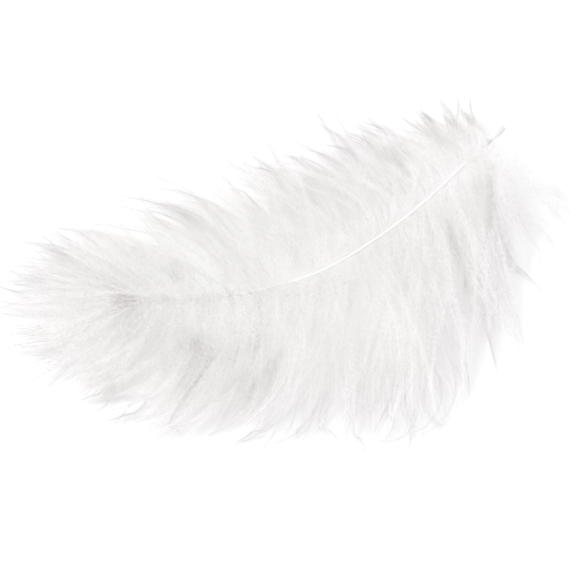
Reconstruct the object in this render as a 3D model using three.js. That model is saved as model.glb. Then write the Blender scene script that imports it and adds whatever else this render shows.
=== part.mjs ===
// A white marabou feather lying on its underside, domed, with the quill at +X and the tip at -X.
// Millimetres, +Z up. Z = 0 is the surface that the down rests on, and the origin is the middle of
// the feather's outline there.

import * as THREE from 'three';

// Quill and shaft
const CALAMUS_RADIUS = 0.68;       // bare quill end
const SHAFT_ROOT_RADIUS = 0.5;     // where the first barbs grow
const SHAFT_MIDDLE_RADIUS = 0.32;
const SHAFT_TIP_RADIUS = 0.1;
const SHAFT_MIDDLE = 0.45;         // share of the centre line where the middle radius is reached
const FOOT_RADIUS = 0.6;           // radius of the quill's blunt end, as a share of the quill's own
const FOOT_DEPTH = 0.006;          // share of the centre line over which that end is rounded
const TIP_DEPTH = 0.004;           // and over which the shaft's tip comes to a point
const SHAFT_SIDES = 10;
const SHAFT_STEPS = 28;

// Centre line of the quill and shaft, from the quill's end to the tip
const CENTRE_LINE = new THREE.CatmullRomCurve3(
  [
    [61.1, 15.9, 8.6],
    [45.5, 8.9, 12.2],
    [26.7, 2.1, 14.2],
    [4.7, -1.3, 14.6],
    [-13.3, 2.1, 13.4],
    [-27.3, 9.1, 11.0],
    [-39.3, 17.1, 8.0],
  ].map((point) => new THREE.Vector3(...point)),
  false,
  'catmullrom',
  0.5,
);

// Down
const DOWN_START = 0.075;          // share of the centre line where the down begins
const DOWN_END = 0.985;            // and where the shaft's two sides give way to the tip tuft
const GAP = 0.3;                   // clearance between the shaft and the down beside it
const EDGE_HEIGHT = 0.7;           // thickness of the down at the tips of its barbs
const DROOP = 2.1;                 // how fast the down falls from the shaft to its edge
const WISP_PITCH = 4.6;            // one pointed wisp along the shaft
const WISP_NOTCH = 0.15;           // how far the gaps between wisps cut into the edge
const WISP_RELIEF = 0.14;          // how far a wisp stands above the hollows beside it
const WISP_VARIATION = 0.05;       // unevenness of the wisps' reach
const WISP_RHYTHM = 2.4;           // phase step of that unevenness from one station to the next
const STEPS_OUT = 6;               // rows of facets from the shaft to the edge

// Guides for the barbs beside the shaft: share of the vane's length, angle off the shaft towards the
// tip in degrees, and reach in millimetres as seen from above
const NEAR_GUIDES = [
  [0.0, 47, 39],
  [0.1, 50, 46],
  [0.22, 53, 49],
  [0.38, 52, 45],
  [0.52, 50, 40],
  [0.66, 53, 36],
  [0.8, 57, 34],
  [1.0, 54, 27],
];
const FAR_GUIDES = [
  [0.0, 128, 14],
  [0.06, 114, 22],
  [0.2, 108, 30],
  [0.33, 96, 38],
  [0.5, 84, 37],
  [0.64, 68, 41],
  [0.8, 48, 37],
  [1.0, 33, 31],
];

// The tufts spread from one place on the shaft: guides go by share of the fan, the angle off the
// shaft is positive towards the far side, and reach is measured from the shaft
const TIP_TUFT = {
  place: 1,
  wisps: 7,
  rootRadius: 0.9,
  guides: [
    [0.0, -55, 26],
    [0.3, -25, 26],
    [0.6, 0, 25],
    [1.0, 35, 29],
  ],
};
const BASE_DOWN = {
  place: 0.06,
  wisps: 6,
  rootRadius: 1.3,
  guides: [
    [0.0, -118, 13],
    [0.3, -94, 20],
    [0.65, -74, 26],
    [1.0, -54, 33],
  ],
};

// Surfaces
const KERATIN = { color: '#f1efec', roughness: 0.35 };
const FLUFF = { color: '#f2f0ef', roughness: 0.9 };

function material({ color, roughness }) {
  return new THREE.MeshStandardMaterial({ color, roughness, metalness: 0 });
}

// Angle in radians and reach in millimetres at a share of a guide table
function guideAt(guides, share) {
  const last = guides.length - 2;
  let i = 0;
  while (i < last && share > guides[i + 1][0]) i += 1;
  const [from, to] = [guides[i], guides[i + 1]];
  const t = THREE.MathUtils.smoothstep(share, from[0], to[0]);
  const angle = THREE.MathUtils.degToRad(THREE.MathUtils.lerp(from[1], to[1], t));
  return { angle, reach: THREE.MathUtils.lerp(from[2], to[2], t) };
}

function shaftRadius(share) {
  const { lerp } = THREE.MathUtils;
  if (share < DOWN_START) {
    return lerp(CALAMUS_RADIUS, SHAFT_ROOT_RADIUS, share / DOWN_START);
  }
  if (share < SHAFT_MIDDLE) {
    const t = (share - DOWN_START) / (SHAFT_MIDDLE - DOWN_START);
    return lerp(SHAFT_ROOT_RADIUS, SHAFT_MIDDLE_RADIUS, Math.sqrt(t));
  }
  return lerp(SHAFT_MIDDLE_RADIUS, SHAFT_TIP_RADIUS, (share - SHAFT_MIDDLE) / (1 - SHAFT_MIDDLE));
}

// A point of the centre line, with the level directions along it to the tip and across it to the far side
function frameAt(share) {
  const along = CENTRE_LINE.getTangentAt(share).setZ(0).normalize();
  const across = new THREE.Vector3(along.y, -along.x, 0);
  return { point: CENTRE_LINE.getPointAt(share), along, across };
}

// Level direction at an angle off the shaft, positive towards the far side
function headingAt(frame, angle) {
  const heading = frame.along.clone().multiplyScalar(Math.cos(angle));
  return heading.addScaledVector(frame.across, Math.sin(angle));
}

// The quill and shaft: a turned profile with a blunt foot and a fine tip, bent along the centre line
function shaftGeometry() {
  const profile = [new THREE.Vector2(0, 0)];
  profile.push(new THREE.Vector2(FOOT_RADIUS * CALAMUS_RADIUS, FOOT_DEPTH / 4));
  for (let i = 0; i <= SHAFT_STEPS; i += 1) {
    const share = THREE.MathUtils.lerp(FOOT_DEPTH, 1 - TIP_DEPTH, i / SHAFT_STEPS);
    profile.push(new THREE.Vector2(shaftRadius(share), share));
  }
  profile.push(new THREE.Vector2(0, 1));
  const geometry = new THREE.LatheGeometry(profile, SHAFT_SIDES);
  const position = geometry.attributes.position;
  const vertex = new THREE.Vector3();
  for (let i = 0; i < position.count; i += 1) {
    vertex.fromBufferAttribute(position, i);
    const share = THREE.MathUtils.clamp(vertex.y, 0, 1);
    const { point, across } = frameAt(share);
    const up = new THREE.Vector3().crossVectors(across, CENTRE_LINE.getTangentAt(share)).normalize();
    point.addScaledVector(across, vertex.x).addScaledVector(up, vertex.z);
    position.setXYZ(i, point.x, point.y, point.z);
  }
  return geometry;
}

// A mass of down, shaped from a block: its X runs past the wisps, its Y outwards from the shaft, and
// its Z from the resting surface to the top. rootAt(share) gives where a barb grows, its heading and
// its reach. Every second station is the ridge of a wisp, and those between are the notches.
function downGeometry(wisps, rootAt) {
  const stations = 2 * wisps;
  const geometry = new THREE.BoxGeometry(1, 1, 1, stations, STEPS_OUT, 1);
  const position = geometry.attributes.position;
  for (let i = 0; i < position.count; i += 1) {
    const share = position.getX(i) + 0.5;
    const out = position.getY(i) + 0.5;
    const isTop = position.getZ(i) > 0;
    const { point, heading, reach } = rootAt(share);
    const station = Math.round(share * stations);
    const isRidge = station % 2 === 1;
    const uneven = 1 + WISP_VARIATION * Math.sin(WISP_RHYTHM * station);
    const distance = reach * out * (isRidge ? uneven : uneven - WISP_NOTCH);
    const relief = 1 + (isRidge ? WISP_RELIEF : -WISP_RELIEF) * Math.sin(Math.PI * out);
    const height = EDGE_HEIGHT + (point.z - EDGE_HEIGHT) * (1 - out) ** DROOP * relief;
    point.addScaledVector(heading, distance);
    position.setXYZ(i, point.x, point.y, isTop ? height : 0);
  }
  return geometry;
}

// Down along one side of the shaft: side is 1 for the far side and -1 for the near side
function vaneGeometry(side, guides) {
  const wisps = Math.round((CENTRE_LINE.getLength() * (DOWN_END - DOWN_START)) / WISP_PITCH);
  return downGeometry(wisps, (share) => {
    const along = side < 0 ? share : 1 - share;
    const place = THREE.MathUtils.lerp(DOWN_START, DOWN_END, along);
    const frame = frameAt(place);
    const { angle, reach } = guideAt(guides, along);
    const heading = headingAt(frame, side * angle);
    const point = frame.point.addScaledVector(frame.across, side * (shaftRadius(place) + GAP));
    return { point, heading, reach };
  });
}

// Down that spreads from one place on the shaft. Its guides run so that its faces point outwards:
// the tip tuft's from the near side to the far side, and the base down's the other way
function fanGeometry({ place, wisps, rootRadius, guides }) {
  const frame = frameAt(place);
  return downGeometry(wisps, (share) => {
    const { angle, reach } = guideAt(guides, share);
    const heading = headingAt(frame, angle);
    const point = frame.point.clone().addScaledVector(heading, rootRadius);
    return { point, heading, reach: reach - rootRadius };
  });
}

function node(name, geometry, finish) {
  const mesh = new THREE.Mesh(geometry, material(finish));
  mesh.name = name;
  return mesh;
}

const group = new THREE.Group();
group.add(
  node('shaft', shaftGeometry(), KERATIN),
  node('near_vane', vaneGeometry(-1, NEAR_GUIDES), FLUFF),
  node('far_vane', vaneGeometry(1, FAR_GUIDES), FLUFF),
  node('tip_tuft', fanGeometry(TIP_TUFT), FLUFF),
  node('base_down', fanGeometry(BASE_DOWN), FLUFF),
);

export default group;
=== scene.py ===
"""A white marabou feather: a quill and shaft, and about a thousand barbs of down.

Lengths are in millimetres in the part's frame (quill at +X, tip at -X, +Z up). Meshes are made in metres.
Each barb is one closed tube. At short intervals its faces are drawn out into fine spikes, the barbules.
"""
import math
from dataclasses import dataclass

import bpy
import numpy as np
from mathutils import Matrix, Vector


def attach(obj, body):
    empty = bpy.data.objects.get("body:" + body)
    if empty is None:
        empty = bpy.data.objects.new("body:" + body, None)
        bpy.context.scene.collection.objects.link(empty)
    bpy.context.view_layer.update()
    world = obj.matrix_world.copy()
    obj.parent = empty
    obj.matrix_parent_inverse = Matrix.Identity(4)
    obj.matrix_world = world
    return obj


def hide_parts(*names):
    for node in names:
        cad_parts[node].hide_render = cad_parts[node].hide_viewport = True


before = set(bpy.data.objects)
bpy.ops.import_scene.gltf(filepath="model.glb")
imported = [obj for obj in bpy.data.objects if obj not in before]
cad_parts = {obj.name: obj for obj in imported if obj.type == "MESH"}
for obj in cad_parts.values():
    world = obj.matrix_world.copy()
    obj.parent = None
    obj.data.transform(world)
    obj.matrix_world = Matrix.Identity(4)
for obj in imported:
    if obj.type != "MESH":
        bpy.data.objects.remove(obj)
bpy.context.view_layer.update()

MM = 0.001

# Quill and shaft, as in the CAD part. Places along them are shares of the centre line's length.
CENTRE_LINE = np.array(
    [
        (61.1, 15.9, 8.6),
        (45.5, 8.9, 12.2),
        (26.7, 2.1, 14.2),
        (4.7, -1.3, 14.6),
        (-13.3, 2.1, 13.4),
        (-27.3, 9.1, 11.0),
        (-39.3, 17.1, 8.0),
    ]
)
CALAMUS_RADIUS = 0.68
SHAFT_ROOT_RADIUS = 0.5
SHAFT_MIDDLE_RADIUS = 0.32
SHAFT_TIP_RADIUS = 0.1
SHAFT_MIDDLE = 0.45
DOWN_START = 0.075
DOWN_END = 0.985

# The shaft's mesh: its sides, its evenly spaced rings between two places, and the rings that round its cut
# end, with their places and radii as shares of the shaft's own
SHAFT_SIDES = 16
SHAFT_RINGS = 260
FIRST_RING = 0.007
LAST_RING = 0.996
CUT_END_PLACES = (0.0, 0.001, 0.0025, 0.0045)
CUT_END_RADII = (0.25, 0.6, 0.85, 0.96)
TIP_END_RADIUS = 0.05

# The calamus is wider behind its cut end and narrower before the down: by what share, where, and how far
SWELL = 0.5
SWELL_PLACE = 0.018
SWELL_WIDTH = 0.02
NECK = 0.1
NECK_PLACE = 0.045
NECK_WIDTH = 0.012

# Guides for the barbs: share of the vane, angle off the shaft in degrees, reach in millimetres, how far the
# heading turns towards the tip to each side of that angle, and how far wisps curl, both in degrees. In the
# two fans, at the tip and the base, a negative angle is on the near side.
NEAR_GUIDES = [
    (0.0, 39, 43, 15, 6),
    (0.05, 38, 44.5, 9, 6),
    (0.1, 38, 45, 4, 8),
    (0.16, 43, 45.5, 5, 12),
    (0.22, 49, 51, 6, 18),
    (0.3, 51, 50.5, 12, 18),
    (0.36, 52, 46.5, 16, 18),
    (0.52, 50, 37.5, 27, 16),
    (0.66, 53, 34.5, 34, 16),
    (0.8, 57, 35, 36, 16),
    (1.0, 54, 24.5, 28, 16),
]
FAR_GUIDES = [
    (0.0, 124, 19.5, 0, 12),
    (0.06, 114, 24, 5, 14),
    (0.2, 108, 30.5, 14, 16),
    (0.27, 104, 34.5, 19, 16),
    (0.33, 100, 41, 21, 16),
    (0.5, 88, 42, 22, 16),
    (0.64, 71, 46, 24, 14),
    (0.8, 54, 40.5, 24, 14),
    (1.0, 36, 29.5, 16, 14),
]
TIP_GUIDES = [
    (0.0, -46, 30.5, 12, 14),
    (0.25, -28, 38.5, 8, 14),
    (0.6, 0, 46.5, 0, 14),
    (1.0, 35, 42, 10, 14),
]
BASE_GUIDES = [
    (0.0, -84, 19, 0, 20),
    (0.25, -72, 26, 0, 20),
    (0.6, -56, 31, 0, 20),
    (1.0, -42, 32, 0, 20),
]

# Single wisps that stand out from the down: the share of the vane they leave, how many
# barbs they have, and points on their way
NEAR_STRAYS = [
    (0.2, 5, [(22.8, -23.6, 6), (21.7, -31.6, 3), (18.8, -37.5, 1.5), (14.5, -41.2, 1), (9.4, -43.0, 1),
     (5.3, -42.0, 1)]),
    (0.24, 5, [(17.9, -25.2, 5.5), (17.2, -32.8, 2.5), (14.2, -38.4, 1.5), (9.2, -41.4, 1), (4.3, -40.9, 1)]),
    (0.17, 4, [(18.6, -26.7, 5), (12.7, -32.5, 2.5), (10.6, -38.9, 1.5), (12.5, -43.1, 1), (16.7, -41.2, 1)]),
    (0.13, 6, [(24.3, -26.8, 5), (22.5, -33.5, 2), (19.7, -39.8, 1)]),
    (0.07, 10, [(35.2, -19.9, 4), (32.2, -30.5, 2), (30.1, -36.9, 1), (27.7, -41.9, 1)]),
    (0.02, 4, [(42.6, -12.4, 5), (37.7, -23.5, 2), (34.8, -30.6, 1)]),
    (0.015, 7, [(49.2, -2.4, 5), (46.9, -12.8, 2.5), (48.3, -18.0, 1.5), (49.8, -24.5, 1)]),
    (0.3, 5, [(8.2, -32.6, 3), (6.8, -38.6, 1.5), (3.4, -41.0, 1), (-0.6, -40.4, 1), (-3.4, -38.3, 1)]),
    (0.27, 5, [(4.6, -30.6, 3), (3.1, -36.7, 1.5), (-1.0, -39.6, 1), (-5.1, -38.9, 1)]),
    (0.36, 4, [(-4.2, -31.4, 3), (-5.5, -37.3, 1.2), (-6.3, -43.1, 1)]),
    (0.4, 3, [(-10.3, -28.1, 3), (-10.4, -32.3, 1.2), (-9.7, -37.4, 1)]),
    (0.52, 3, [(-20.5, -24.2, 3), (-26.8, -24.8, 1.2), (-33.8, -26.3, 1)]),
    (0.5, 3, [(-15.8, -25.2, 3), (-19.1, -27.7, 1.2), (-23.0, -29.1, 1)]),
    (0.6, 3, [(-30.6, -18.8, 3), (-34.6, -20.0, 1.2), (-37.8, -21.5, 1)]),
    (0.68, 3, [(-33.4, -14.3, 3), (-42.5, -15.2, 1.2), (-50.6, -15.3, 1)]),
    (0.64, 3, [(-39.5, -12.6, 3), (-40.5, -15.4, 1.2), (-40.9, -19.0, 1)]),
    (0.8, 3, [(-43.3, -6.0, 3), (-50.3, -6.3, 1.2), (-56.8, -5.4, 1)]),
    (0.88, 3, [(-48.6, 1.3, 3), (-53.6, 1.2, 1.2), (-58.6, 1.6, 1)]),
    (0.97, 3, [(-49.8, 10.3, 4), (-57.0, 9.4, 1.5), (-65.6, 5.9, 1)]),
    (0.95, 3, [(-49.4, 7.0, 4), (-54.3, 7.7, 1.5), (-59.1, 6.9, 1)]),
]
FAR_STRAYS = [
    (0.4, 7, [(20.2, 17.9, 9), (18.1, 30.1, 5), (14.3, 36.7, 2.5)]),
    (0.37, 7, [(23.4, 18.6, 9), (22.2, 29.1, 5), (18.3, 36.4, 2.5)]),
    (0.34, 6, [(26.6, 18.7, 9), (26.9, 29.0, 5), (23.0, 35.4, 2.5)]),
    (0.27, 8, [(27.9, 19.2, 9), (27.5, 31.7, 5), (26.2, 37.6, 3), (24.7, 42.6, 2)]),
    (0.25, 7, [(32.9, 20.8, 8), (33.0, 28.8, 4), (30.5, 33.8, 3), (27.5, 37.0, 2)]),
    (0.2, 3, [(37.6, 21.3, 8), (39.0, 28.3, 4), (38.6, 33.4, 2)]),
    (0.1, 3, [(47.2, 22.2, 8), (48.4, 29.3, 4), (47.4, 33.3, 3)]),
    (0.36, 3, [(17.4, 20.0, 8), (16.1, 32.4, 4), (13.1, 37.4, 2)]),
    (0.42, 3, [(10.1, 20.9, 8), (9.4, 32.3, 4), (5.9, 37.6, 2)]),
    (0.5, 3, [(2.1, 20.7, 8), (1.2, 31.3, 4), (-0.5, 34.4, 2)]),
    (0.62, 3, [(-6.0, 25.0, 8), (-10.4, 36.3, 4), (-16.6, 44.2, 2)]),
    (0.66, 3, [(-10.3, 24.2, 8), (-14.8, 35.3, 4), (-21.0, 40.5, 2)]),
    (0.7, 3, [(-13.3, 23.5, 7), (-17.9, 34.5, 4), (-22.8, 39.9, 2)]),
    (0.93, 3, [(-34.1, 27.1, 6), (-36.7, 38.3, 3), (-41.2, 44.0, 2)]),
    (0.97, 4, [(-39.1, 28.8, 6), (-43.3, 38.1, 3), (-50.9, 44.9, 2)]),
    (0.96, 3, [(-41.0, 27.7, 6), (-44.0, 35.8, 3), (-49.5, 41.2, 2)]),
    (0.98, 3, [(-43.6, 25.2, 6), (-48.7, 32.9, 3), (-54.4, 36.9, 2)]),
]
# How far the barbs of such a wisp stand apart at its root and bow, how much of that they lose to its tip,
# how much less they do so up and down, and by what share each is shorter than the last
STRAY_SPREAD = 0.7
STRAY_BOW = 0.6
STRAY_CLOSING = 0.7
STRAY_FLATNESS = (1, 1, 0.5)
STRAY_SHORTENING = 0.05
STRAY_TONE = 0.3

# Barbs and barbules
BARB_RADIUS = 0.045
FLUFF_RADIUS = 0.02
BARBULE_LENGTH = 1.8
STRAY_BARBULE_LENGTH = 1.3
FAR_STRAY_BARBULE_LENGTH = 1.6
FLUFF_BARBULE_LENGTH = 2.8
LEAN_AT_ROOT = 58           # degrees between a barb and its barbules, and how many fewer at its tip
LEAN_LOSS = 24
TAPER = 0.55                # share of a barb's radius that it loses to its tip
FINE_TAPER = 0.3
PATH_SAMPLES = 48
LOWEST_PATH = 0.25
FLOOR_CLEARANCE = 0.06

# A barb is a tube with nodes. Each node is a short stretch between two rings, with two spikes on every side.
TUBE_SIDES = 3
SPIKES_PER_NODE = 2 * TUBE_SIDES
TRIANGLES_PER_NODE = 3 * SPIKES_PER_NODE + 2 * TUBE_SIDES
NODE_LENGTH = 0.08
FIRST_NODE = 0.005          # the first place for a node, and the stretch of the barb that has nodes
NODE_SPAN = 0.985
FEWEST_NODES = 6

# Barbs lie over the shaft where it enters the down and towards its tip. Places are shares of the shaft.
ENTRY_COVER = 0.1           # where the first cover begins to fade, and over what length
ENTRY_FADE = 0.07
TIP_COVER = 0.56            # where the second begins to grow, and over what length
TIP_GROWTH = 0.16
FAN_COVER = 0.3             # cover of all barbs of a fan
CROSSING = 2.4              # how far beyond the shaft a fully covering barb is rooted
HOP_HEIGHT = 0.7            # its hop over the shaft, and how far along it the hop is highest
HOP_MIDDLE = 2.4
COVER_BARBULE = 0.9         # length of its barbules at the root, as a share of the longest

# Where barbs leave the shaft, off its middle and above it, as shares of its radius
ROOT_OUT = 0.3
ROOT_UP = 0.5

# What a barb's place in the down's layers depends on: its lock and itself. Lower barbs are darker, as painted
# shade. And its lightness: its lock, its wisp, itself and its share of the vane, the share part being painted
# light and shade.
LAYER_WEIGHTS = 0.4, 0.6
TONE_WEIGHTS = 0.2, 0.25, 0.15, 0.4

# Painted shade, greying the down where it lies in shade: places along a barb, and greyness there at the
# quill's and the tip's end of a vane.
# The one passes into the other over a stretch of the vane.
GREY_PLACES = (0, 0.15, 0.3, 0.5, 0.7, 1)
NEAR_GREY = (0.4, 0.4, 0.3, 0.2, 0.1, 0), (0.7, 0.8, 0.9, 0.5, 0.1, 0)
FAR_GREY = (0, 0.05, 0.2, 0.4, 0.3, 0), (0.6, 0.9, 1, 0.9, 0.4, 0)
TIP_GREY = ((0.2, 0.5, 0.6, 0.5, 0.2, 0),) * 2
NO_GREY = ((0,) * len(GREY_PLACES),) * 2
EVEN_GREY = ((0.5,) * len(GREY_PLACES),) * 2
GREY_CHANGE_FROM = 0.2
GREY_CHANGE_OVER = 0.5

# Painted light and shade: how light the barbs are along a vane, and across the fan at the tip: shares and
# lightness there
NEAR_TONE = (0, 0.1, 0.36, 0.46, 0.8, 0.88, 1), (0.8, 1, 1, 0.9, 0.6, 1, 1)
FAR_TONE = (0, 0.15, 0.3, 0.5, 0.75, 0.9, 1), (0.6, 0.8, 1, 0.5, 0.2, 0.8, 1)
TIP_TONE = (0, 0.5, 1), (1, 0.9, 0.6)
FLUFF_TONE = (0, 1), (1, 1)

# Darker brownish spots, and painted shade: grey places for the shadow in gaps and between locks, under the
# shaft and deep in the down. Each lies between two places: x, y, x, y, strength and radius
BROWN_SPOTS = [(-38.1, 15.6, -38.1, 14.1, 0.22, 3), (-29.8, -2.0, -28.8, -3.0, 0.75, 2.6)]
PAINTED_SHADES = [
    (53.0, 7.1, 45.9, -4.8, 0.55, 0.9),
    (47.5, 4.6, 42.2, -3.4, 0.12, 1.5),
    (35.7, -2.4, 34.7, -9.1, 0.55, 0.75),
    (35.0, -8.6, 33.4, -17.4, 0.55, 0.6),
    (34.1, 22.0, 35.6, 20.0, 0.12, 2.6),
    (49.9, 23.3, 49.3, 18.2, 0.25, 3),
    (25.4, -10.1, 28.4, -12.3, 0.1, 2.6),
    (-35.8, 1.8, -36.9, -2.8, 0.25, 1.4),
    (-34.2, -5.6, -25.3, -7.4, 0.3, 1.5),
    (-24.4, -8.7, -17.1, -8.7, 0.3, 1.5),
    (-35.4, -8.8, -30.7, -8.6, 0.35, 1.1),
    (-28.9, -14.1, -21.8, -12.5, 0.3, 1.1),
    (-23.2, -16.6, -12.7, -12.5, 0.2, 1.3),
    (-35.4, -10.7, -23.0, -11.9, 0.12, 3),
    (-24.1, 18.4, -24.9, 14.9, 0.3, 1.2),
    (-30.4, 18.4, -28.9, 10.4, 0.12, 3),
    (-19.2, 32.0, 0.4, 21.3, 0.15, 4.5),
    (-24.1, 5.6, 10.8, -9.1, 0.1, 2.4),
    (47.2, 30.9, 58.0, 22.8, 0.33, 3.5),
]
# Painted light: lighter places in the down, in the same way
PAINTED_LIGHTS = [
    (12.7, 13.7, 12.7, 6.2, 0.3, 3.5),
    (-11.6, 2.2, 10.2, -1.0, 0.25, 1.8),
    (5.9, 3.3, 37.0, 7.9, 0.35, 2.8),
    (38.7, 13.5, 56.2, 15.6, 0.3, 2.6),
    (39.0, 4.3, 51.9, 9.4, 0.8, 3.4),
    (55.4, 7.8, 44.4, -14.0, 0.6, 1.6),
    (15.0, -18.8, 15.4, -40.1, 0.7, 5.5),
    (11.2, -18.5, 0.6, -40.0, 0.5, 3),
    (27.9, -16.6, 13.9, -45.3, 0.5, 3),
    (41.4, -3.4, 29.3, -30.1, 0.6, 4),
    (30.7, 1.8, 26.0, -13.8, 0.3, 3.5),
    (24.1, 25.3, 37.2, 28.9, 0.55, 3.5),
    (13.7, 27.8, 19.7, 29.2, 0.3, 3),
    (-8.2, -14.5, -15.4, -31.8, 0.6, 4.5),
    (46.0, 0.3, 40.2, -14.6, 0.45, 2.6),
    (-42.3, 20.5, -28.3, 11.5, 0.6, 1.3),
    (-44.9, -13.9, -20.4, -22.7, 0.55, 4.5),
    (-29.9, -17.5, -20.5, -12.0, 0.4, 2.5),
    (-41.5, 17.1, -36.4, 14.4, 0.25, 2.5),
    (-47.0, 14.1, -42.3, 5.6, 0.25, 4),
    (2.0, 30.2, 11.3, 30.6, 0.4, 3.5),
    (-42.3, 40.0, -35.7, 32.9, 0.4, 3.5),
]
# Gaps where barbs lie apart, each between two places: x, y, x, y, half width and how far around barbs move
GAPS = [
    (21.4, -26.9, 18.9, -34.0, 2.2, 6),
    (18.9, -34.0, 13.5, -40.2, 1.8, 5),
    (6.3, -37.2, 7.2, -39.8, 1.4, 4),
]


# Curves

def smoothstep(x):
    x = np.clip(x, 0.0, 1.0)
    return x * x * (3.0 - 2.0 * x)


def guide_at(guides, share):
    """Angle, reach, bend and curl at a share of a guide table, the angles in radians."""
    table = np.array(guides, float)
    last = len(table) - 2
    i = int(np.clip(np.searchsorted(table[:, 0], share, side="right") - 1, 0, last))
    t = smoothstep((share - table[i, 0]) / (table[i + 1, 0] - table[i, 0]))
    angle, reach, bend, curl_size = table[i, 1:] + (table[i + 1, 1:] - table[i, 1:]) * t
    return math.radians(angle), reach, math.radians(bend), math.radians(curl_size)


def catmull_rom(points, per_span=64):
    """Points close together along the smooth curve through the given ones."""
    ends = [2 * points[0] - points[1]], [2 * points[-1] - points[-2]]
    p = np.vstack([ends[0], points, ends[1]])
    t = np.linspace(0, 1, per_span, endpoint=False)[:, None]
    spans = []
    for a, b, c, d in zip(p, p[1:], p[2:], p[3:]):
        square = 2 * a - 5 * b + 4 * c - d
        cube = 3 * b - a - 3 * c + d
        spans.append(0.5 * (2 * b + (c - a) * t + square * t**2 + cube * t**3))
    return np.vstack(spans + [points[-1:]])


def resample(path, shares):
    """Points at shares of a path's length."""
    steps = np.linalg.norm(np.diff(path, axis=0), axis=1)
    s = np.concatenate([[0], np.cumsum(steps)])
    return np.array([np.interp(shares * s[-1], s, path[:, k]) for k in range(3)]).T


class CentreLine:
    """The middle of the shaft by share of its length, 0 at the quill's end and 1 at the tip."""

    def __init__(self, points):
        self.points = catmull_rom(points)
        steps = np.linalg.norm(np.diff(self.points, axis=0), axis=1)
        self.shares = np.concatenate([[0], np.cumsum(steps)])
        self.length = self.shares[-1]
        self.shares /= self.length

    def at(self, share):
        return np.array([np.interp(share, self.shares, self.points[:, k]) for k in range(3)]).T

    def tangent(self, share):
        step = 0.004
        d = self.at(np.minimum(share + step, 1)) - self.at(np.maximum(share - step, 0))
        return d / np.linalg.norm(d, axis=-1, keepdims=True)

    def level_frame(self, share):
        """Level directions along the shaft to the tip and across it to the far side."""
        along = self.tangent(share) * (1, 1, 0)
        along /= np.linalg.norm(along)
        return along, np.array([along[1], -along[0], 0.0])


class Stations:
    """Places along a line, with the directions along it, level across it and square to both."""

    def __init__(self, share, middle, along):
        self.share = share
        self.middle = middle
        self.along = along
        level = np.cross(along, (0, 0, 1.0))
        self.level = level / np.maximum(np.linalg.norm(level, axis=1, keepdims=True), 1e-9)
        self.upward = np.cross(self.level, along)

    def around(self, bearing):
        """Directions square to the line, at bearings around it in radians."""
        across = np.cos(bearing)[..., None] * self.level[:, None]
        return across + np.sin(bearing)[..., None] * self.upward[:, None]


LINE = CentreLine(CENTRE_LINE)


def shaft_radius(share):
    if share < DOWN_START:
        return CALAMUS_RADIUS + (SHAFT_ROOT_RADIUS - CALAMUS_RADIUS) * share / DOWN_START
    if share < SHAFT_MIDDLE:
        t = (share - DOWN_START) / (SHAFT_MIDDLE - DOWN_START)
        return SHAFT_ROOT_RADIUS + (SHAFT_MIDDLE_RADIUS - SHAFT_ROOT_RADIUS) * math.sqrt(t)
    t = (share - SHAFT_MIDDLE) / (1 - SHAFT_MIDDLE)
    return SHAFT_MIDDLE_RADIUS + (SHAFT_TIP_RADIUS - SHAFT_MIDDLE_RADIUS) * t


# Meshes

def make_object(name, vertices, faces, attributes, smooth=False):
    """A mesh object from vertices in millimetres, triangles, and a value at each vertex for every label."""
    mesh = bpy.data.meshes.new(name)
    mesh.vertices.add(len(vertices))
    mesh.vertices.foreach_set("co", (vertices * MM).astype(np.float32).ravel())
    corners = faces.shape[1]
    mesh.loops.add(faces.size)
    mesh.loops.foreach_set("vertex_index", faces.astype(np.int32).ravel())
    mesh.polygons.add(len(faces))
    mesh.polygons.foreach_set("loop_start", np.arange(0, faces.size, corners, dtype=np.int32))
    mesh.polygons.foreach_set("use_smooth", np.full(len(faces), smooth))
    for label, values in attributes.items():
        layer = mesh.attributes.new(label, "FLOAT", "POINT")
        layer.data.foreach_set("value", values.astype(np.float32))
    mesh.update()
    mesh.validate()
    piece = bpy.data.objects.new(name, mesh)
    bpy.context.scene.collection.objects.link(piece)
    return piece


def triangles(a, b, c):
    """One triangle for each entry of three arrays of vertex numbers."""
    return np.stack(np.broadcast_arrays(a, b, c), axis=-1).reshape(-1, 3)


def band(ring, beside, next_ring, next_beside):
    """Triangles between rings and the ones after them. beside holds each vertex's neighbour in its ring."""
    return [triangles(ring, next_beside, beside), triangles(ring, next_ring, next_beside)]


def caps(ring, beside, last_ring, last_beside, first_end):
    """Triangles from a tube's first and last ring to its two end points, which come after the rings."""
    return [triangles(ring, beside, first_end), triangles(last_beside, last_ring, first_end + 1)]


# Barbs

WAY = np.linspace(0, 1, PATH_SAMPLES)


def waver(rng, size):
    """A smooth change of heading along a barb, none at its root."""
    total = np.zeros(PATH_SAMPLES)
    for waves in (0.6, 1.3, 2.6):
        phase = rng.uniform(0, 2 * math.pi)
        swing = np.sin(2 * math.pi * waves * WAY + phase) - math.sin(phase)
        total += rng.normal() * size / waves**0.5 * swing
    return total


def curl(rng):
    """A turn of the last half of a barb, more often towards the tip of the feather, of about 1."""
    begin = rng.uniform(0.35, 0.65)
    return (np.clip(rng.normal(), -1.5, 1.5) + 0.35) * smoothstep((WAY - begin) / (1 - begin))


def level_curve(headings, length):
    """A level curve from the origin through the given headings."""
    step = np.stack([np.cos(headings), np.sin(headings)], -1) * length / (PATH_SAMPLES - 1)
    return np.vstack([[0, 0], np.cumsum(step[:-1], axis=0)])


def droop(rng, root_height, lift, layer):
    """Heights along a barb. layer is 1 for barbs on top of the down and 0 for those lowest in it."""
    profile = (1 - WAY ** (1.0 + 1.0 * layer)) ** (2.3 - 1.1 * layer)
    tip_height = 0.3 + 1.8 * layer * rng.random()
    hump = np.sin(np.pi * np.minimum(WAY * 1.5, 1)) * (1 - WAY)
    return tip_height + (root_height - tip_height) * profile + lift * hump


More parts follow.
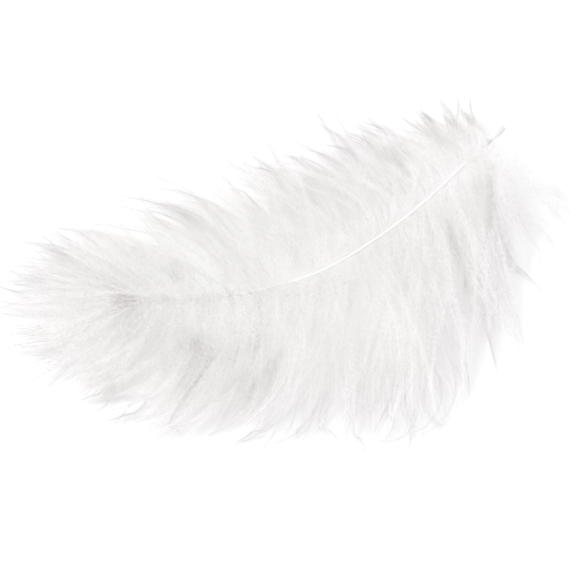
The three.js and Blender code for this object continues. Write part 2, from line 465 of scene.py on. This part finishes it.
def hop(reach, cover):
    """Extra heights along a barb that crosses over the shaft, cover being how far it lies across."""
    return HOP_HEIGHT * cover * np.exp(-(((WAY * reach - HOP_MIDDLE) / HOP_MIDDLE) ** 2))


def groups(rng, count, mean_size):
    """Splits count barbs into neighbouring groups of about mean_size, many small and few large."""
    index, k = [], 0
    while len(index) < count:
        index += [k] * max(1, round(rng.gamma(2.4, mean_size / 2.4)))
        k += 1
    return np.array(index[:count])


def along_path(path, w):
    """Points of a path at the shares w of its samples."""
    return np.array([np.interp(w, WAY, path[:, k]) for k in range(3)]).T


def gather(rng, paths, reach, group, strength, begin, loose_share):
    """Draws each group's barbs towards its longest one, from the share begin of their length.

    Each barb keeps its own length, so a group ends in a long point."""
    closing = smoothstep((WAY - begin) / (1 - begin))
    gathered = paths.copy()
    for k in range(group.max() + 1):
        members = np.flatnonzero(group == k)
        lead = members[np.argmax(reach[members])]
        for m in members:
            if m == lead or rng.random() < loose_share:
                continue
            pull = np.clip(strength * rng.uniform(0.75, 1.15) * closing, 0, 0.97)
            to = along_path(paths[lead], WAY * reach[m] / reach[lead])
            gathered[m] += (to - paths[m]) * pull[:, None]
    return gathered


def open_gaps(paths, table):
    """Moves barbs aside from the middle lines of gaps, the nearer ones further, each to one side only."""
    for x0, y0, x1, y1, half_width, radius in table:
        start, way = np.array([x0, y0]), np.array([x1 - x0, y1 - y0])
        length = np.linalg.norm(way)
        along = way / length
        across = np.array([-along[1], along[0]])
        to = paths[:, :, :2] - start
        ahead, aside = to @ along, to @ across
        nearest = np.argmin(np.abs(ahead - length / 2) + np.abs(aside), axis=1)
        side = np.where(aside[np.arange(len(paths)), nearest] < 0, -1.0, 1.0)[:, None]
        within = smoothstep((ahead + radius) / radius) * smoothstep((length + radius - ahead) / radius)
        push = side * half_width * within * smoothstep(1 - np.abs(aside) / radius)
        paths[:, :, :2] += push[..., None] * across
    return paths


@dataclass
class Habit:
    """How the barbs of one part grow. Angles are in degrees, and reaches are shares of the guides'."""

    lock: float = 12            # barbs in a lock, on average
    wisp: float = 2.8           # barbs in a wisp, a smaller group
    lock_turn: float = 2.5      # spread of the turns of locks, wisps and single barbs
    wisp_turn: float = 7
    barb_turn: float = 3
    fine_turn: float = 9        # further spread of the turns of fine wisps
    largest_turn: float = 14    # limit of a wisp's turn
    waver: float = 8            # spread of the waves in a wisp's heading
    largest_stray: float = 24   # soft limit of all turns, waves and curls together
    fine_share: float = 0.25    # share of the small wisps that are fine
    fine_reach: float = 1.08
    reach: float = 1.07
    longest: float = 1.09
    lowest_layer: float = 0.0
    lock_pull: float = 0.16     # how far the barbs of a lock draw together
    crowding: float = 1.0       # above 1, barbs stand closer at the quill's end


@dataclass
class Barbs:
    """Barbs of one part: a path for each, and labels.

    layer is 0 for the lowest in the down and 1 for those on top, tone is their lightness, cover how far they
    lie across the shaft, fine marks thin ones, and share is their place along the vane."""

    path: np.ndarray
    layer: np.ndarray
    tone: np.ndarray
    cover: np.ndarray
    fine: np.ndarray
    share: np.ndarray

    def between(self, low, high):
        """The barbs between two shares of the vane."""
        kept = (self.share >= low) & (self.share < high)
        return Barbs(**{name: values[kept] for name, values in vars(self).items()})


class Bunches:
    """The locks and wisps of one part, and what the barbs of each have in common."""

    SMALL_WISP = 4              # barbs at most in a wisp that can be fine
    OWN_WAVER = 0.3             # waves of a single barb's heading, as a share of its wisp's

    def __init__(self, rng, count, habit):
        self.habit = habit
        self.lock = groups(rng, count, habit.lock)
        self.wisp = groups(rng, count, habit.wisp)
        locks, wisps = self.lock.max() + 1, self.wisp.max() + 1
        self.lock_turn = np.radians(rng.normal(0, habit.lock_turn, locks))
        self.lock_layer = rng.random(locks)
        self.lock_tone = rng.random(locks)
        turn = np.radians(rng.normal(0, habit.wisp_turn, wisps))
        self.wisp_tone = rng.random(wisps)
        self.waver = [waver(rng, math.radians(habit.waver)) for _ in range(wisps)]
        self.curl = [curl(rng) for _ in range(wisps)]
        self.lift = rng.normal(1.2, 0.9, wisps)
        small = np.bincount(self.wisp) <= self.SMALL_WISP
        self.fine = small & (rng.random(wisps) < habit.fine_share)
        turn += self.fine * np.radians(rng.normal(0, habit.fine_turn, wisps))
        largest_turn = math.radians(habit.largest_turn)
        self.wisp_turn = np.clip(turn, -largest_turn, largest_turn)
        self.reach = np.where(self.fine, habit.fine_reach, 1.0) + rng.normal(0, 0.04, wisps)

    def stray(self, rng, i, curl_size):
        """How far barb i's heading leaves its guide, along the barb, in radians."""
        lock, wisp = self.lock[i], self.wisp[i]
        own_turn = math.radians(rng.normal(0, self.habit.barb_turn))
        turn = self.lock_turn[lock] + self.wisp_turn[wisp] + own_turn
        own_waver = waver(rng, math.radians(self.habit.waver * self.OWN_WAVER))
        along = self.waver[wisp] - self.curl[wisp] * curl_size + own_waver
        largest = math.radians(self.habit.largest_stray)
        return largest * np.tanh((turn + along) / largest)


def grow(rng, count, root_at, guides, tone_along, side, habit):
    """Barbs of one part.

    side is 1 or -1 for the far and near vane, and 0 for a fan, whose angles carry their own sign."""
    shares = ((np.arange(count) + rng.uniform(0.1, 0.9, count)) / count) ** habit.crowding
    bunches = Bunches(rng, count, habit)
    lock, wisp = bunches.lock, bunches.wisp
    of_lock, own = LAYER_WEIGHTS
    layers = np.clip(of_lock * bunches.lock_layer[lock] + own * rng.random(count), habit.lowest_layer, 1)
    reaches = habit.reach * bunches.reach[wisp] * (0.74 + 0.26 * rng.beta(2.0, 1.2, count))
    paths, covers = [], []
    for i, share in enumerate(shares):
        root, along, across, cover, advance = root_at(rng, share)
        angle, reach, bend, curl_size = guide_at(guides, share)
        reaches[i] = (reach - advance * math.cos(angle)) * min(reaches[i], habit.longest)
        heading = abs(angle) + bend * (1 - 2 * WAY) + bunches.stray(rng, i, curl_size)
        plan = level_curve(heading, reaches[i] * bend / math.sin(bend) if bend else reaches[i])
        hand = side if side else math.copysign(1, angle)
        path = root + plan[:, :1] * along + hand * plan[:, 1:] * across
        path[:, 2] = droop(rng, root[2], bunches.lift[wisp[i]] * layers[i], layers[i])
        path[:, 2] += hop(reaches[i], cover)
        paths.append(path)
        covers.append(cover)
    paths = gather(rng, np.array(paths), reaches, lock, strength=habit.lock_pull, begin=0.25, loose_share=0.3)
    paths = gather(rng, paths, reaches, wisp, strength=0.92, begin=0.3, loose_share=0.12)
    paths = open_gaps(paths, GAPS)
    paths[:, :, 2] = np.maximum(paths[:, :, 2], LOWEST_PATH)
    of_lock, of_wisp, own, of_share = TONE_WEIGHTS
    tones = of_lock * bunches.lock_tone[lock] + of_wisp * bunches.wisp_tone[wisp] + own * rng.random(count)
    tones += of_share * np.interp(shares, *tone_along)
    return Barbs(paths, layers, tones, np.array(covers), bunches.fine[wisp], shares)


def strays(rng, table, side):
    """Wisps of a few barbs along the given ways."""
    root_at = vane_root(side)
    paths, shares = [], []
    for share, members, points in table:
        root = root_at(rng, share)[0]
        way = resample(catmull_rom(np.vstack([root, points]), 16), WAY)
        for member in range(members):
            offset = rng.normal(0, STRAY_SPREAD, 3) * STRAY_FLATNESS
            bow = np.sin(math.pi * WAY)[:, None] * rng.normal(0, STRAY_BOW, 3) * STRAY_FLATNESS
            path = way + offset * (1 - STRAY_CLOSING * WAY)[:, None] + bow
            path[0] = root
            paths.append(along_path(path, WAY * (1 - STRAY_SHORTENING * member)))
            shares.append(share)
    count = len(paths)
    tones = np.full(count, STRAY_TONE)
    return Barbs(np.array(paths), np.ones(count), tones, np.zeros(count), np.ones(count), np.array(shares))


def shaft_cover(place):
    """How far barbs lie across the shaft, 0 to 1: where it enters the down, and towards its tip."""
    at_quill = 1 - smoothstep((place - ENTRY_COVER) / ENTRY_FADE)
    return max(at_quill, smoothstep((place - TIP_COVER) / TIP_GROWTH))


def vane_root(side):
    """A function that finds where a barb of one side leaves the shaft, from its share of the vane.

    It returns the root, the level directions along and across the shaft there, the barb's cover, and its
    advance: how far on from the fan's first place it is rooted, which is 0 in a vane."""
    def root_at(rng, share):
        place = DOWN_START + (DOWN_END - DOWN_START) * share
        along, across = LINE.level_frame(place)
        cover = shaft_cover(place) * rng.random()
        radius = shaft_radius(place)
        out = radius * ROOT_OUT * (1 - cover) - CROSSING * cover
        root = LINE.at(place) + across * side * out
        root[2] += radius * ROOT_UP
        return root, along, across, cover, 0.0
    return root_at


def fan_root(low, high):
    """The same for a fan between two places on the shaft, with more barbs towards the second."""
    def root_at(rng, share):
        place = high - (high - low) * rng.random() ** 2
        along, across = LINE.level_frame(place)
        return LINE.at(place), along, across, FAN_COVER, (place - low) * LINE.length
    return root_at


# Barb meshes

@dataclass
class Fibre:
    """How barbs are made into a mesh. Lengths are in millimetres, and places are shares of the barb."""

    barbule: float = BARBULE_LENGTH
    barbule_at_root: float = 0.5    # length of the barbules there, as a share of the longest
    thinning: float = 0.36          # share of a barb over which they shorten towards its tip
    fine_thinning: float = 0.6      # the same for a fine barb
    radius: float = BARB_RADIUS
    crowding: float = 1.6           # how much closer nodes stand at the tip
    grey: tuple = EVEN_GREY
    tip_grey: float = 0.5           # greyness of a fine barb's tip, and the place where it begins
    tip_grey_from: float = 0.65


def barbule_envelope(w, at_root, thinning):
    """Barbule length along a barb, as a share of the longest. thinning is the share that thins to the tip."""
    rise = at_root + (1 - at_root) * smoothstep(w / 0.35)
    fall = 0.12 + 0.88 * smoothstep((1 - w) / thinning)
    return rise * fall


def node_places(rng, count, crowding_at_tip):
    """Places of count nodes along a barb, closer together where its barbules are short."""
    grid = np.linspace(0, 1, 200)
    crowding = np.cumsum(1 + crowding_at_tip * smoothstep((grid - 0.5) / 0.5))
    crowding = (crowding - crowding[0]) / (crowding[-1] - crowding[0])
    even = (np.arange(count) + 0.5 + rng.uniform(-0.25, 0.25, count)) / count
    return np.interp(np.sort(even) * NODE_SPAN + FIRST_NODE, crowding, grid)


def stations_along(path, w):
    """Stations at shares w of a path's length."""
    step = 0.01
    along = resample(path, np.clip(w + step, 0, 1)) - resample(path, np.clip(w - step, 0, 1))
    along /= np.linalg.norm(along, axis=1, keepdims=True)
    return Stations(w, resample(path, w), along)


def barbule_tips(rng, stations, corner, lengths):
    """Tips of the barbules, two from each side of a node, leaning towards the barb's tip."""
    shape = len(lengths), SPIKES_PER_NODE
    side = np.repeat(corner, 2) + math.pi / TUBE_SIDES
    bearing = side[None] + rng.uniform(-0.75, 0.75, shape)
    reach = lengths[:, None] * rng.uniform(0.55, 1.15, shape)
    lean = np.radians(LEAN_AT_ROOT - LEAN_LOSS * stations.share)[:, None] + rng.normal(0, 0.16, shape)
    tips = stations.middle[:, None] + stations.around(bearing) * (reach * np.sin(lean))[..., None]
    return tips + stations.along[:, None] * (reach * np.cos(lean))[..., None]


def barb_vertices(rng, path, nodes, barbule, at_root, fibre, fine):
    """Vertices of one barb with barbules, and each one's share along the barb.

    First the lower and upper ring of every node, then the tips of the barbules, then the barb's two ends."""
    stations = stations_along(path, node_places(rng, nodes, fibre.crowding))
    w = stations.share
    corner = rng.uniform(0, 2 * math.pi) + np.arange(TUBE_SIDES) * 2 * math.pi / TUBE_SIDES
    radius = fibre.radius * (1 - (FINE_TAPER if fine else TAPER) * w**1.3)
    ring = stations.middle[:, None] + stations.around(corner) * radius[:, None, None]
    half_node = stations.along[:, None] * (NODE_LENGTH / 2)
    rings = np.stack([ring - half_node, ring + half_node], axis=1).reshape(-1, 3)
    lengths = barbule * barbule_envelope(w, at_root, fibre.fine_thinning if fine else fibre.thinning)
    tips = barbule_tips(rng, stations, corner, lengths).reshape(-1, 3)
    vertices = np.vstack([rings, tips, path[0], path[-1]])
    vertices[:, 2] = np.maximum(vertices[:, 2], FLOOR_CLEARANCE)
    return vertices, np.concatenate([np.repeat(w, 2 * TUBE_SIDES), np.repeat(w, SPIKES_PER_NODE), [0, 1]])


def barb_faces(nodes):
    """Triangles of a barb, facing out: two spikes on each side of a node, bands between nodes, and caps."""
    side = np.arange(TUBE_SIDES)
    node = np.arange(nodes)[:, None]
    lower = node * 2 * TUBE_SIDES + side
    lower_beside = np.roll(lower, -1, axis=1)
    upper, upper_beside = lower + TUBE_SIDES, lower_beside + TUBE_SIDES
    first_tip = nodes * 2 * TUBE_SIDES
    first_end = first_tip + nodes * SPIKES_PER_NODE
    tip = first_tip + node * SPIKES_PER_NODE + 2 * side
    feet = (lower, upper_beside, lower_beside), (lower, upper, upper_beside)
    faces = []
    for (a, b, c), top in zip(feet, (tip, tip + 1)):
        faces += [triangles(a, b, top), triangles(b, c, top), triangles(c, a, top)]
    faces += band(upper[:-1], upper_beside[:-1], lower[1:], lower_beside[1:])
    faces += caps(lower[0], lower_beside[0], upper[-1], upper_beside[-1], first_end)
    return np.vstack(faces)


def tint_at(points, table):
    """How strongly the places of a table tint each point, 0 to 1, seen from above."""
    total = np.zeros(len(points))
    for x0, y0, x1, y1, strength, radius in table:
        start, way = np.array([x0, y0]), np.array([x1 - x0, y1 - y0])
        to = points[:, :2] - start
        share = np.clip(to @ way / max(way @ way, 1e-9), 0, 1)
        distance = np.linalg.norm(to - share[:, None] * way, axis=1)
        total += strength * np.exp(-((distance / radius) ** 2))
    return np.minimum(total, 1)


def greyness(fibre, along, share):
    """Greyness of the painted shade along a barb that stands at a share of the vane."""
    at_quill, at_tip = (np.interp(along, GREY_PLACES, values) for values in fibre.grey)
    return at_quill + (at_tip - at_quill) * smoothstep((share - GREY_CHANGE_FROM) / GREY_CHANGE_OVER)


def barb_labels(vertices, along, barbs, i, fibre):
    """Values at the vertices of barb i that its colour is made from."""
    # Painted light lifts the greyness, tone and layer at these places
    pale = tint_at(vertices, PAINTED_LIGHTS)
    outer = smoothstep((along - fibre.tip_grey_from) / (1 - fibre.tip_grey_from))
    return {
        "grey": greyness(fibre, along, barbs.share[i]) * (1 - pale),
        "tone": barbs.tone[i] + (1 - barbs.tone[i]) * pale,
        "layer": barbs.layer[i] + (1 - barbs.layer[i]) * pale,
        "tip": fibre.tip_grey * barbs.fine[i] * outer,
    }


def down_piece(name, seed, barbs, budget, fibre):
    """Joins barbs into one mesh with no more than budget triangles."""
    rng = np.random.default_rng(seed)
    lengths = np.linalg.norm(np.diff(barbs.path, axis=1), axis=2).sum(axis=1)
    density = budget / TRIANGLES_PER_NODE / lengths.sum()
    vertices, faces, labels = [], [], []
    base = 0
    for i, path in enumerate(barbs.path):
        nodes = max(FEWEST_NODES, int(density * lengths[i]) - 1)
        barbule = fibre.barbule * rng.uniform(0.85, 1.15)
        at_root = fibre.barbule_at_root + (COVER_BARBULE - fibre.barbule_at_root) * barbs.cover[i]
        v, along = barb_vertices(rng, path, nodes, barbule, at_root, fibre, barbs.fine[i])
        vertices.append(v)
        faces.append(barb_faces(nodes) + base)
        labels.append(barb_labels(v, along, barbs, i, fibre))
        base += len(v)
    vertices = np.vstack(vertices)
    attributes = {label: np.concatenate([of_barb[label] for of_barb in labels]) for label in labels[0]}
    # Darker brownish spots
    attributes["brown_spot"] = tint_at(vertices, BROWN_SPOTS)
    # Painted shade at the grey places
    attributes["shade"] = tint_at(vertices, PAINTED_SHADES)
    return make_object(name, vertices, np.vstack(faces), attributes)


# Shaft mesh

def quill_swell(share):
    """Width of the calamus along the shaft, as a share of the plain one."""
    swell = SWELL * math.exp(-(((share - SWELL_PLACE) / SWELL_WIDTH) ** 2))
    return 1 + swell - NECK * math.exp(-(((share - NECK_PLACE) / NECK_WIDTH) ** 2))


def shaft_piece():
    """The quill and shaft: one tube with a rounded cut end and a fine tip."""
    share = np.concatenate([CUT_END_PLACES, np.linspace(FIRST_RING, LAST_RING, SHAFT_RINGS), [1.0]])
    rounding = np.concatenate([CUT_END_RADII, np.ones(SHAFT_RINGS), [TIP_END_RADIUS]])
    radius = np.array([shaft_radius(s) * quill_swell(s) for s in share]) * rounding
    stations = Stations(share, LINE.at(share), LINE.tangent(share))
    corner = np.arange(SHAFT_SIDES) * 2 * math.pi / SHAFT_SIDES
    rings = (stations.middle[:, None] + stations.around(corner) * radius[:, None, None]).reshape(-1, 3)
    vertices = np.vstack([rings, stations.middle[0], stations.middle[-1]])
    ring = np.arange(len(rings)).reshape(-1, SHAFT_SIDES)
    beside = np.roll(ring, -1, axis=1)
    faces = band(ring[:-1], beside[:-1], ring[1:], beside[1:])
    faces += caps(ring[0], beside[0], ring[-1], beside[-1], len(rings))
    along = np.concatenate([np.repeat(share, SHAFT_SIDES), [0, 1]])
    return make_object("shaft_keratin", vertices, np.vstack(faces), {"share": along}, smooth=True)


# Materials

WHITE = (1.0, 1.0, 1.0)

# The down's colour is the product of these: colours at 0 and 1 of each value on its mesh, and a faint mottle
# The down's own white, and its colour where the painted shade is greyest
DOWN_GREY = (0.9965, 0.9918, 0.9935), (0.9675, 0.9657, 0.9625)
DOWN_TINTS = {
    # Lightness: random by lock, wisp and barb, with painted light and shade along each vane
    "tone": ((0.965, 0.965, 0.965), WHITE),
    # Painted shade: barbs lower in the down are darker
    "layer": ((0.984, 0.984, 0.983), WHITE),
    "tip": (WHITE, (0.76, 0.745, 0.753)),
    # Darker brownish spots
    "brown_spot": (WHITE, (0.86, 0.835, 0.83)),
    # Painted shade
    "shade": (WHITE, (0.82, 0.82, 0.81)),
}
MOTTLE = [(0.35, (0.99, 0.99, 0.988)), (0.65, WHITE)]
MOTTLE_SCALE = 160
DOWN_ROUGHNESS = 0.85
DOWN_SPECULAR = 0.2
LIGHT_PASSED_ON = 0.5

# Keratin colour by share of the shaft's length: greyer at the cut end and where the down begins, with a
# painted highlight as the lighter band between them
KERATIN_AND_HIGHLIGHT = [
    (0.0, (0.83, 0.83, 0.83)),
    (0.022, (0.82, 0.82, 0.82)),
    # Painted highlight
    (0.036, (0.9, 0.9, 0.9)),
    (0.046, (0.9, 0.9, 0.9)),
    (0.058, (0.66, 0.65, 0.655)),
    (0.07, (0.85, 0.845, 0.85)),
    (0.12, (0.88, 0.875, 0.875)),
    (0.5, (0.9, 0.895, 0.895)),
    (0.62, (0.97, 0.965, 0.965)),
]
STREAKS = [(0.3, (0.93, 0.93, 0.925)), (0.7, WHITE)]
STREAK_SCALE = 900
STREAK_STRETCH = (0.12, 1, 1)
RIDGE_SCALE = 1500
RIDGE_STRETCH = (0.1, 1, 1)
RIDGE_STRENGTH = 0.15
RIDGE_HEIGHT = 0.05 * MM
KERATIN_ROUGHNESS = 0.42
KERATIN_SPECULAR = 0.35


class Nodes:
    """Short ways to build a material's node tree."""

    def __init__(self, material):
        material.use_nodes = True
        self.tree = material.node_tree
        self.tree.nodes.clear()

    def new(self, kind, **settings):
        node = self.tree.nodes.new("ShaderNode" + kind)
        for name, value in settings.items():
            setattr(node, name, value)
        return node

    def link(self, output, socket):
        self.tree.links.new(output, socket)

    def attribute(self, name):
        return self.new("Attribute", attribute_name=name).outputs["Fac"]

    def ramp(self, factor, stops):
        """Colours at places from 0 to 1, given as (place, colour)."""
        node = self.new("ValToRGB")
        elements = node.color_ramp.elements
        while len(elements) < len(stops):
            elements.new(0.5)
        for element, (place, colour) in zip(elements, stops):
            element.position = place
            element.color = (*colour, 1)
        self.link(factor, node.inputs["Fac"])
        return node.outputs["Color"]

    def times(self, a, b):
        node = self.new("Mix", data_type="RGBA", blend_type="MULTIPLY")
        node.inputs[0].default_value = 1.0
        self.link(a, node.inputs[6])
        self.link(b, node.inputs[7])
        return node.outputs[2]

    def noise(self, scale, detail, stretch=(1, 1, 1)):
        """Noise from 0 to 1 in the piece's own coordinates, in metres."""
        place = self.new("TexCoord").outputs["Object"]
        fit = self.new("Mapping")
        fit.inputs["Scale"].default_value = stretch
        self.link(place, fit.inputs["Vector"])
        node = self.new("TexNoise")
        node.inputs["Scale"].default_value = scale
        node.inputs["Detail"].default_value = detail
        self.link(fit.outputs[0], node.inputs["Vector"])
        return node.outputs["Fac"]

    def principled(self, colour, roughness, specular):
        shader = self.new("BsdfPrincipled")
        self.link(colour, shader.inputs["Base Color"])
        shader.inputs["Roughness"].default_value = roughness
        shader.inputs["Specular IOR Level"].default_value = specular
        return shader

    def surface(self, shader):
        self.link(shader.outputs[0], self.new("OutputMaterial").inputs["Surface"])


def down_material():
    """White fibres that pass on half of the light that falls on them."""
    mat = bpy.data.materials.new("marabou_down")
    n = Nodes(mat)
    colour = n.ramp(n.attribute("grey"), list(enumerate(DOWN_GREY)))
    for name, ends in DOWN_TINTS.items():
        colour = n.times(colour, n.ramp(n.attribute(name), list(enumerate(ends))))
    colour = n.times(colour, n.ramp(n.noise(MOTTLE_SCALE, 2), MOTTLE))
    front = n.principled(colour, DOWN_ROUGHNESS, DOWN_SPECULAR)
    through = n.new("BsdfTranslucent")
    n.link(colour, through.inputs["Color"])
    mix = n.new("MixShader")
    mix.inputs[0].default_value = LIGHT_PASSED_ON
    n.link(front.outputs[0], mix.inputs[1])
    n.link(through.outputs[0], mix.inputs[2])
    n.surface(mix)
    return mat


def keratin_material():
    """Smooth horn, faintly streaked along its length, with a painted highlight behind its cut end."""
    mat = bpy.data.materials.new("quill_keratin")
    n = Nodes(mat)
    streaks = n.ramp(n.noise(STREAK_SCALE, 3, STREAK_STRETCH), STREAKS)
    colour = n.times(n.ramp(n.attribute("share"), KERATIN_AND_HIGHLIGHT), streaks)
    shader = n.principled(colour, KERATIN_ROUGHNESS, KERATIN_SPECULAR)
    bump = n.new("Bump")
    bump.inputs["Strength"].default_value = RIDGE_STRENGTH
    bump.inputs["Distance"].default_value = RIDGE_HEIGHT
    n.link(n.noise(RIDGE_SCALE, 2, RIDGE_STRETCH), bump.inputs["Height"])
    n.link(bump.outputs[0], shader.inputs["Normal"])
    n.surface(shader)
    return mat


# The feather

SEED = 11
NEAR_SIDE = -1
FAR_SIDE = 1
FAN = 0
HALVES = (0, 0.48), (0.48, 1)
TIP_FAN = 0.86, 0.998
BASE_FAN = 0.05, 0.085

NEAR_HABIT = Habit(longest=1.05, waver=11, fine_share=0.4, largest_stray=30)
FAR_HABIT = Habit(crowding=1.1, waver=10, fine_share=0.35, largest_stray=27)
TIP_HABIT = Habit(wisp=1.9, wisp_turn=10, lowest_layer=0.35, fine_share=0.6, crowding=0.85, longest=1.04)
FLUFF_HABIT = Habit(
    wisp=1,
    wisp_turn=12,
    fine_turn=12,
    largest_turn=30,
    largest_stray=45,
    lock_pull=0,
    fine_share=1,
    fine_reach=1,
)

NEAR_FIBRE = Fibre(barbule_at_root=0.6, grey=NEAR_GREY)
FAR_FIBRE = Fibre(grey=FAR_GREY)
TIP_FIBRE = Fibre(barbule_at_root=0.3, thinning=0.3, fine_thinning=0.42, grey=TIP_GREY)
FLUFF_FIBRE = Fibre(
    barbule=FLUFF_BARBULE_LENGTH,
    barbule_at_root=0.1,
    radius=FLUFF_RADIUS,
    fine_thinning=0.3,
    crowding=4,
    grey=NO_GREY,
    tip_grey=0.08,
    tip_grey_from=0.1,
)
NEAR_STRAY_FIBRE = Fibre(
    barbule=STRAY_BARBULE_LENGTH,
    fine_thinning=0.3,
    crowding=4,
    tip_grey=0.38,
    tip_grey_from=0.45,
)
FAR_STRAY_FIBRE = Fibre(
    barbule=FAR_STRAY_BARBULE_LENGTH,
    fine_thinning=0.3,
    crowding=4,
    tip_grey=0.4,
    tip_grey_from=0.6,
)


def down_parts(rng):
    """The pieces of down: name, barbs, most triangles, fibre, and the solid that each stands for."""
    near = grow(rng, 360, vane_root(NEAR_SIDE), NEAR_GUIDES, NEAR_TONE, NEAR_SIDE, NEAR_HABIT)
    far = grow(rng, 330, vane_root(FAR_SIDE), FAR_GUIDES, FAR_TONE, FAR_SIDE, FAR_HABIT)
    tip = grow(rng, 140, fan_root(*TIP_FAN), TIP_GUIDES, TIP_TONE, FAN, TIP_HABIT)
    fluff = grow(rng, 42, fan_root(*BASE_FAN), BASE_GUIDES, FLUFF_TONE, FAN, FLUFF_HABIT)
    near_strays = strays(rng, NEAR_STRAYS, NEAR_SIDE)
    far_strays = strays(rng, FAR_STRAYS, FAR_SIDE)
    quill_half, tip_half = HALVES
    return [
        ("near_vane_down_quill_half", near.between(*quill_half), 195000, NEAR_FIBRE, "near_vane"),
        ("near_vane_down_tip_half", near.between(*tip_half), 180000, NEAR_FIBRE, "near_vane"),
        ("far_vane_down_quill_half", far.between(*quill_half), 185000, FAR_FIBRE, "far_vane"),
        ("far_vane_down_tip_half", far.between(*tip_half), 180000, FAR_FIBRE, "far_vane"),
        ("tip_tuft_down", tip, 90000, TIP_FIBRE, "tip_tuft"),
        ("base_down_fluff", fluff, 32000, FLUFF_FIBRE, "base_down"),
        ("near_vane_stray_wisps", near_strays, 75000, NEAR_STRAY_FIBRE, "near_vane"),
        ("far_vane_stray_wisps", far_strays, 72000, FAR_STRAY_FIBRE, "far_vane"),
    ]


def build():
    down = down_material()
    shaft = shaft_piece()
    shaft.data.materials.append(keratin_material())
    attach(shaft, "root")
    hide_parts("shaft")
    for seed, (name, barbs, budget, fibre, node) in enumerate(down_parts(np.random.default_rng(SEED)), 1):
        piece = down_piece(name, seed, barbs, budget, fibre)
        piece.data.materials.append(down)
        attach(piece, "root")
        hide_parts(node)


# Camera, floor and light. The photo is 570 pixels wide, and lengths here are in metres.

IMAGE_WIDTH = 570
MM_PER_PIXEL = 0.23
VIEW_AZIMUTH = math.radians(-28)
VIEW_ELEVATION = math.radians(60)
VIEW_WIDTH = IMAGE_WIDTH * MM_PER_PIXEL * MM
VIEW_DISTANCE = 0.9
VIEW_TARGET = Vector((-1.4, 6.7, 0)) * MM
SENSOR_WIDTH = 36.0
NEAR_CLIP = 0.01

FLOOR_HALF_WIDTH = 3.0
FLOOR_COLOUR = (0.9, 0.9, 0.9, 1)

SKY_COLOUR = (1, 1, 1, 1)
SKY_STRENGTH = 1.02
SOFTBOX_PLACE = (-0.35, 0.45, 0.75)
SOFTBOX_SIZE = 0.5
SOFTBOX_POWER = 2.6
SOFT_BOUNCES = 24
MOST_BOUNCES = 32


def camera():
    level = math.cos(VIEW_ELEVATION)
    back = Vector((math.sin(VIEW_AZIMUTH) * level, -math.cos(VIEW_AZIMUTH) * level, math.sin(VIEW_ELEVATION)))
    data = bpy.data.cameras.new("camera")
    data.sensor_width = SENSOR_WIDTH
    data.lens = SENSOR_WIDTH * VIEW_DISTANCE / VIEW_WIDTH
    data.clip_start = NEAR_CLIP
    cam = bpy.data.objects.new("camera", data)
    bpy.context.scene.collection.objects.link(cam)
    right = Vector((0, 0, 1)).cross(back).normalized()
    upward = back.cross(right)
    turn = Matrix((right, upward, back)).transposed().to_4x4()
    cam.matrix_world = Matrix.Translation(VIEW_TARGET + back * VIEW_DISTANCE) @ turn
    bpy.context.scene.camera = cam


def floor():
    """A wide, matt, pale floor."""
    mesh = bpy.data.meshes.new("floor")
    s = FLOOR_HALF_WIDTH
    mesh.from_pydata([(-s, -s, 0), (s, -s, 0), (s, s, 0), (-s, s, 0)], [], [(0, 1, 2, 3)])
    obj = bpy.data.objects.new("floor", mesh)
    bpy.context.scene.collection.objects.link(obj)
    mat = bpy.data.materials.new("pale_floor")
    mat.use_nodes = True
    shader = mat.node_tree.nodes["Principled BSDF"]
    shader.inputs["Base Color"].default_value = FLOOR_COLOUR
    shader.inputs["Roughness"].default_value = 1.0
    shader.inputs["Specular IOR Level"].default_value = 0.0
    mesh.materials.append(mat)


def light():
    """An even sky and one soft light. Many bounces let light spread through the down."""
    scene = bpy.context.scene
    world = bpy.data.worlds.new("studio")
    scene.world = world
    world.use_nodes = True
    world.node_tree.nodes["Background"].inputs[0].default_value = SKY_COLOUR
    world.node_tree.nodes["Background"].inputs[1].default_value = SKY_STRENGTH
    data = bpy.data.lights.new("softbox", "AREA")
    data.shape = "DISK"
    data.size = SOFTBOX_SIZE
    data.energy = SOFTBOX_POWER
    obj = bpy.data.objects.new("softbox", data)
    scene.collection.objects.link(obj)
    obj.location = SOFTBOX_PLACE
    obj.rotation_euler = (Vector((0, 0, 0)) - obj.location).to_track_quat("-Z", "Y").to_euler()
    scene.view_settings.view_transform = "Standard"
    scene.cycles.diffuse_bounces = SOFT_BOUNCES
    scene.cycles.transmission_bounces = SOFT_BOUNCES
    scene.cycles.max_bounces = MOST_BOUNCES


camera()
floor()
light()
build()
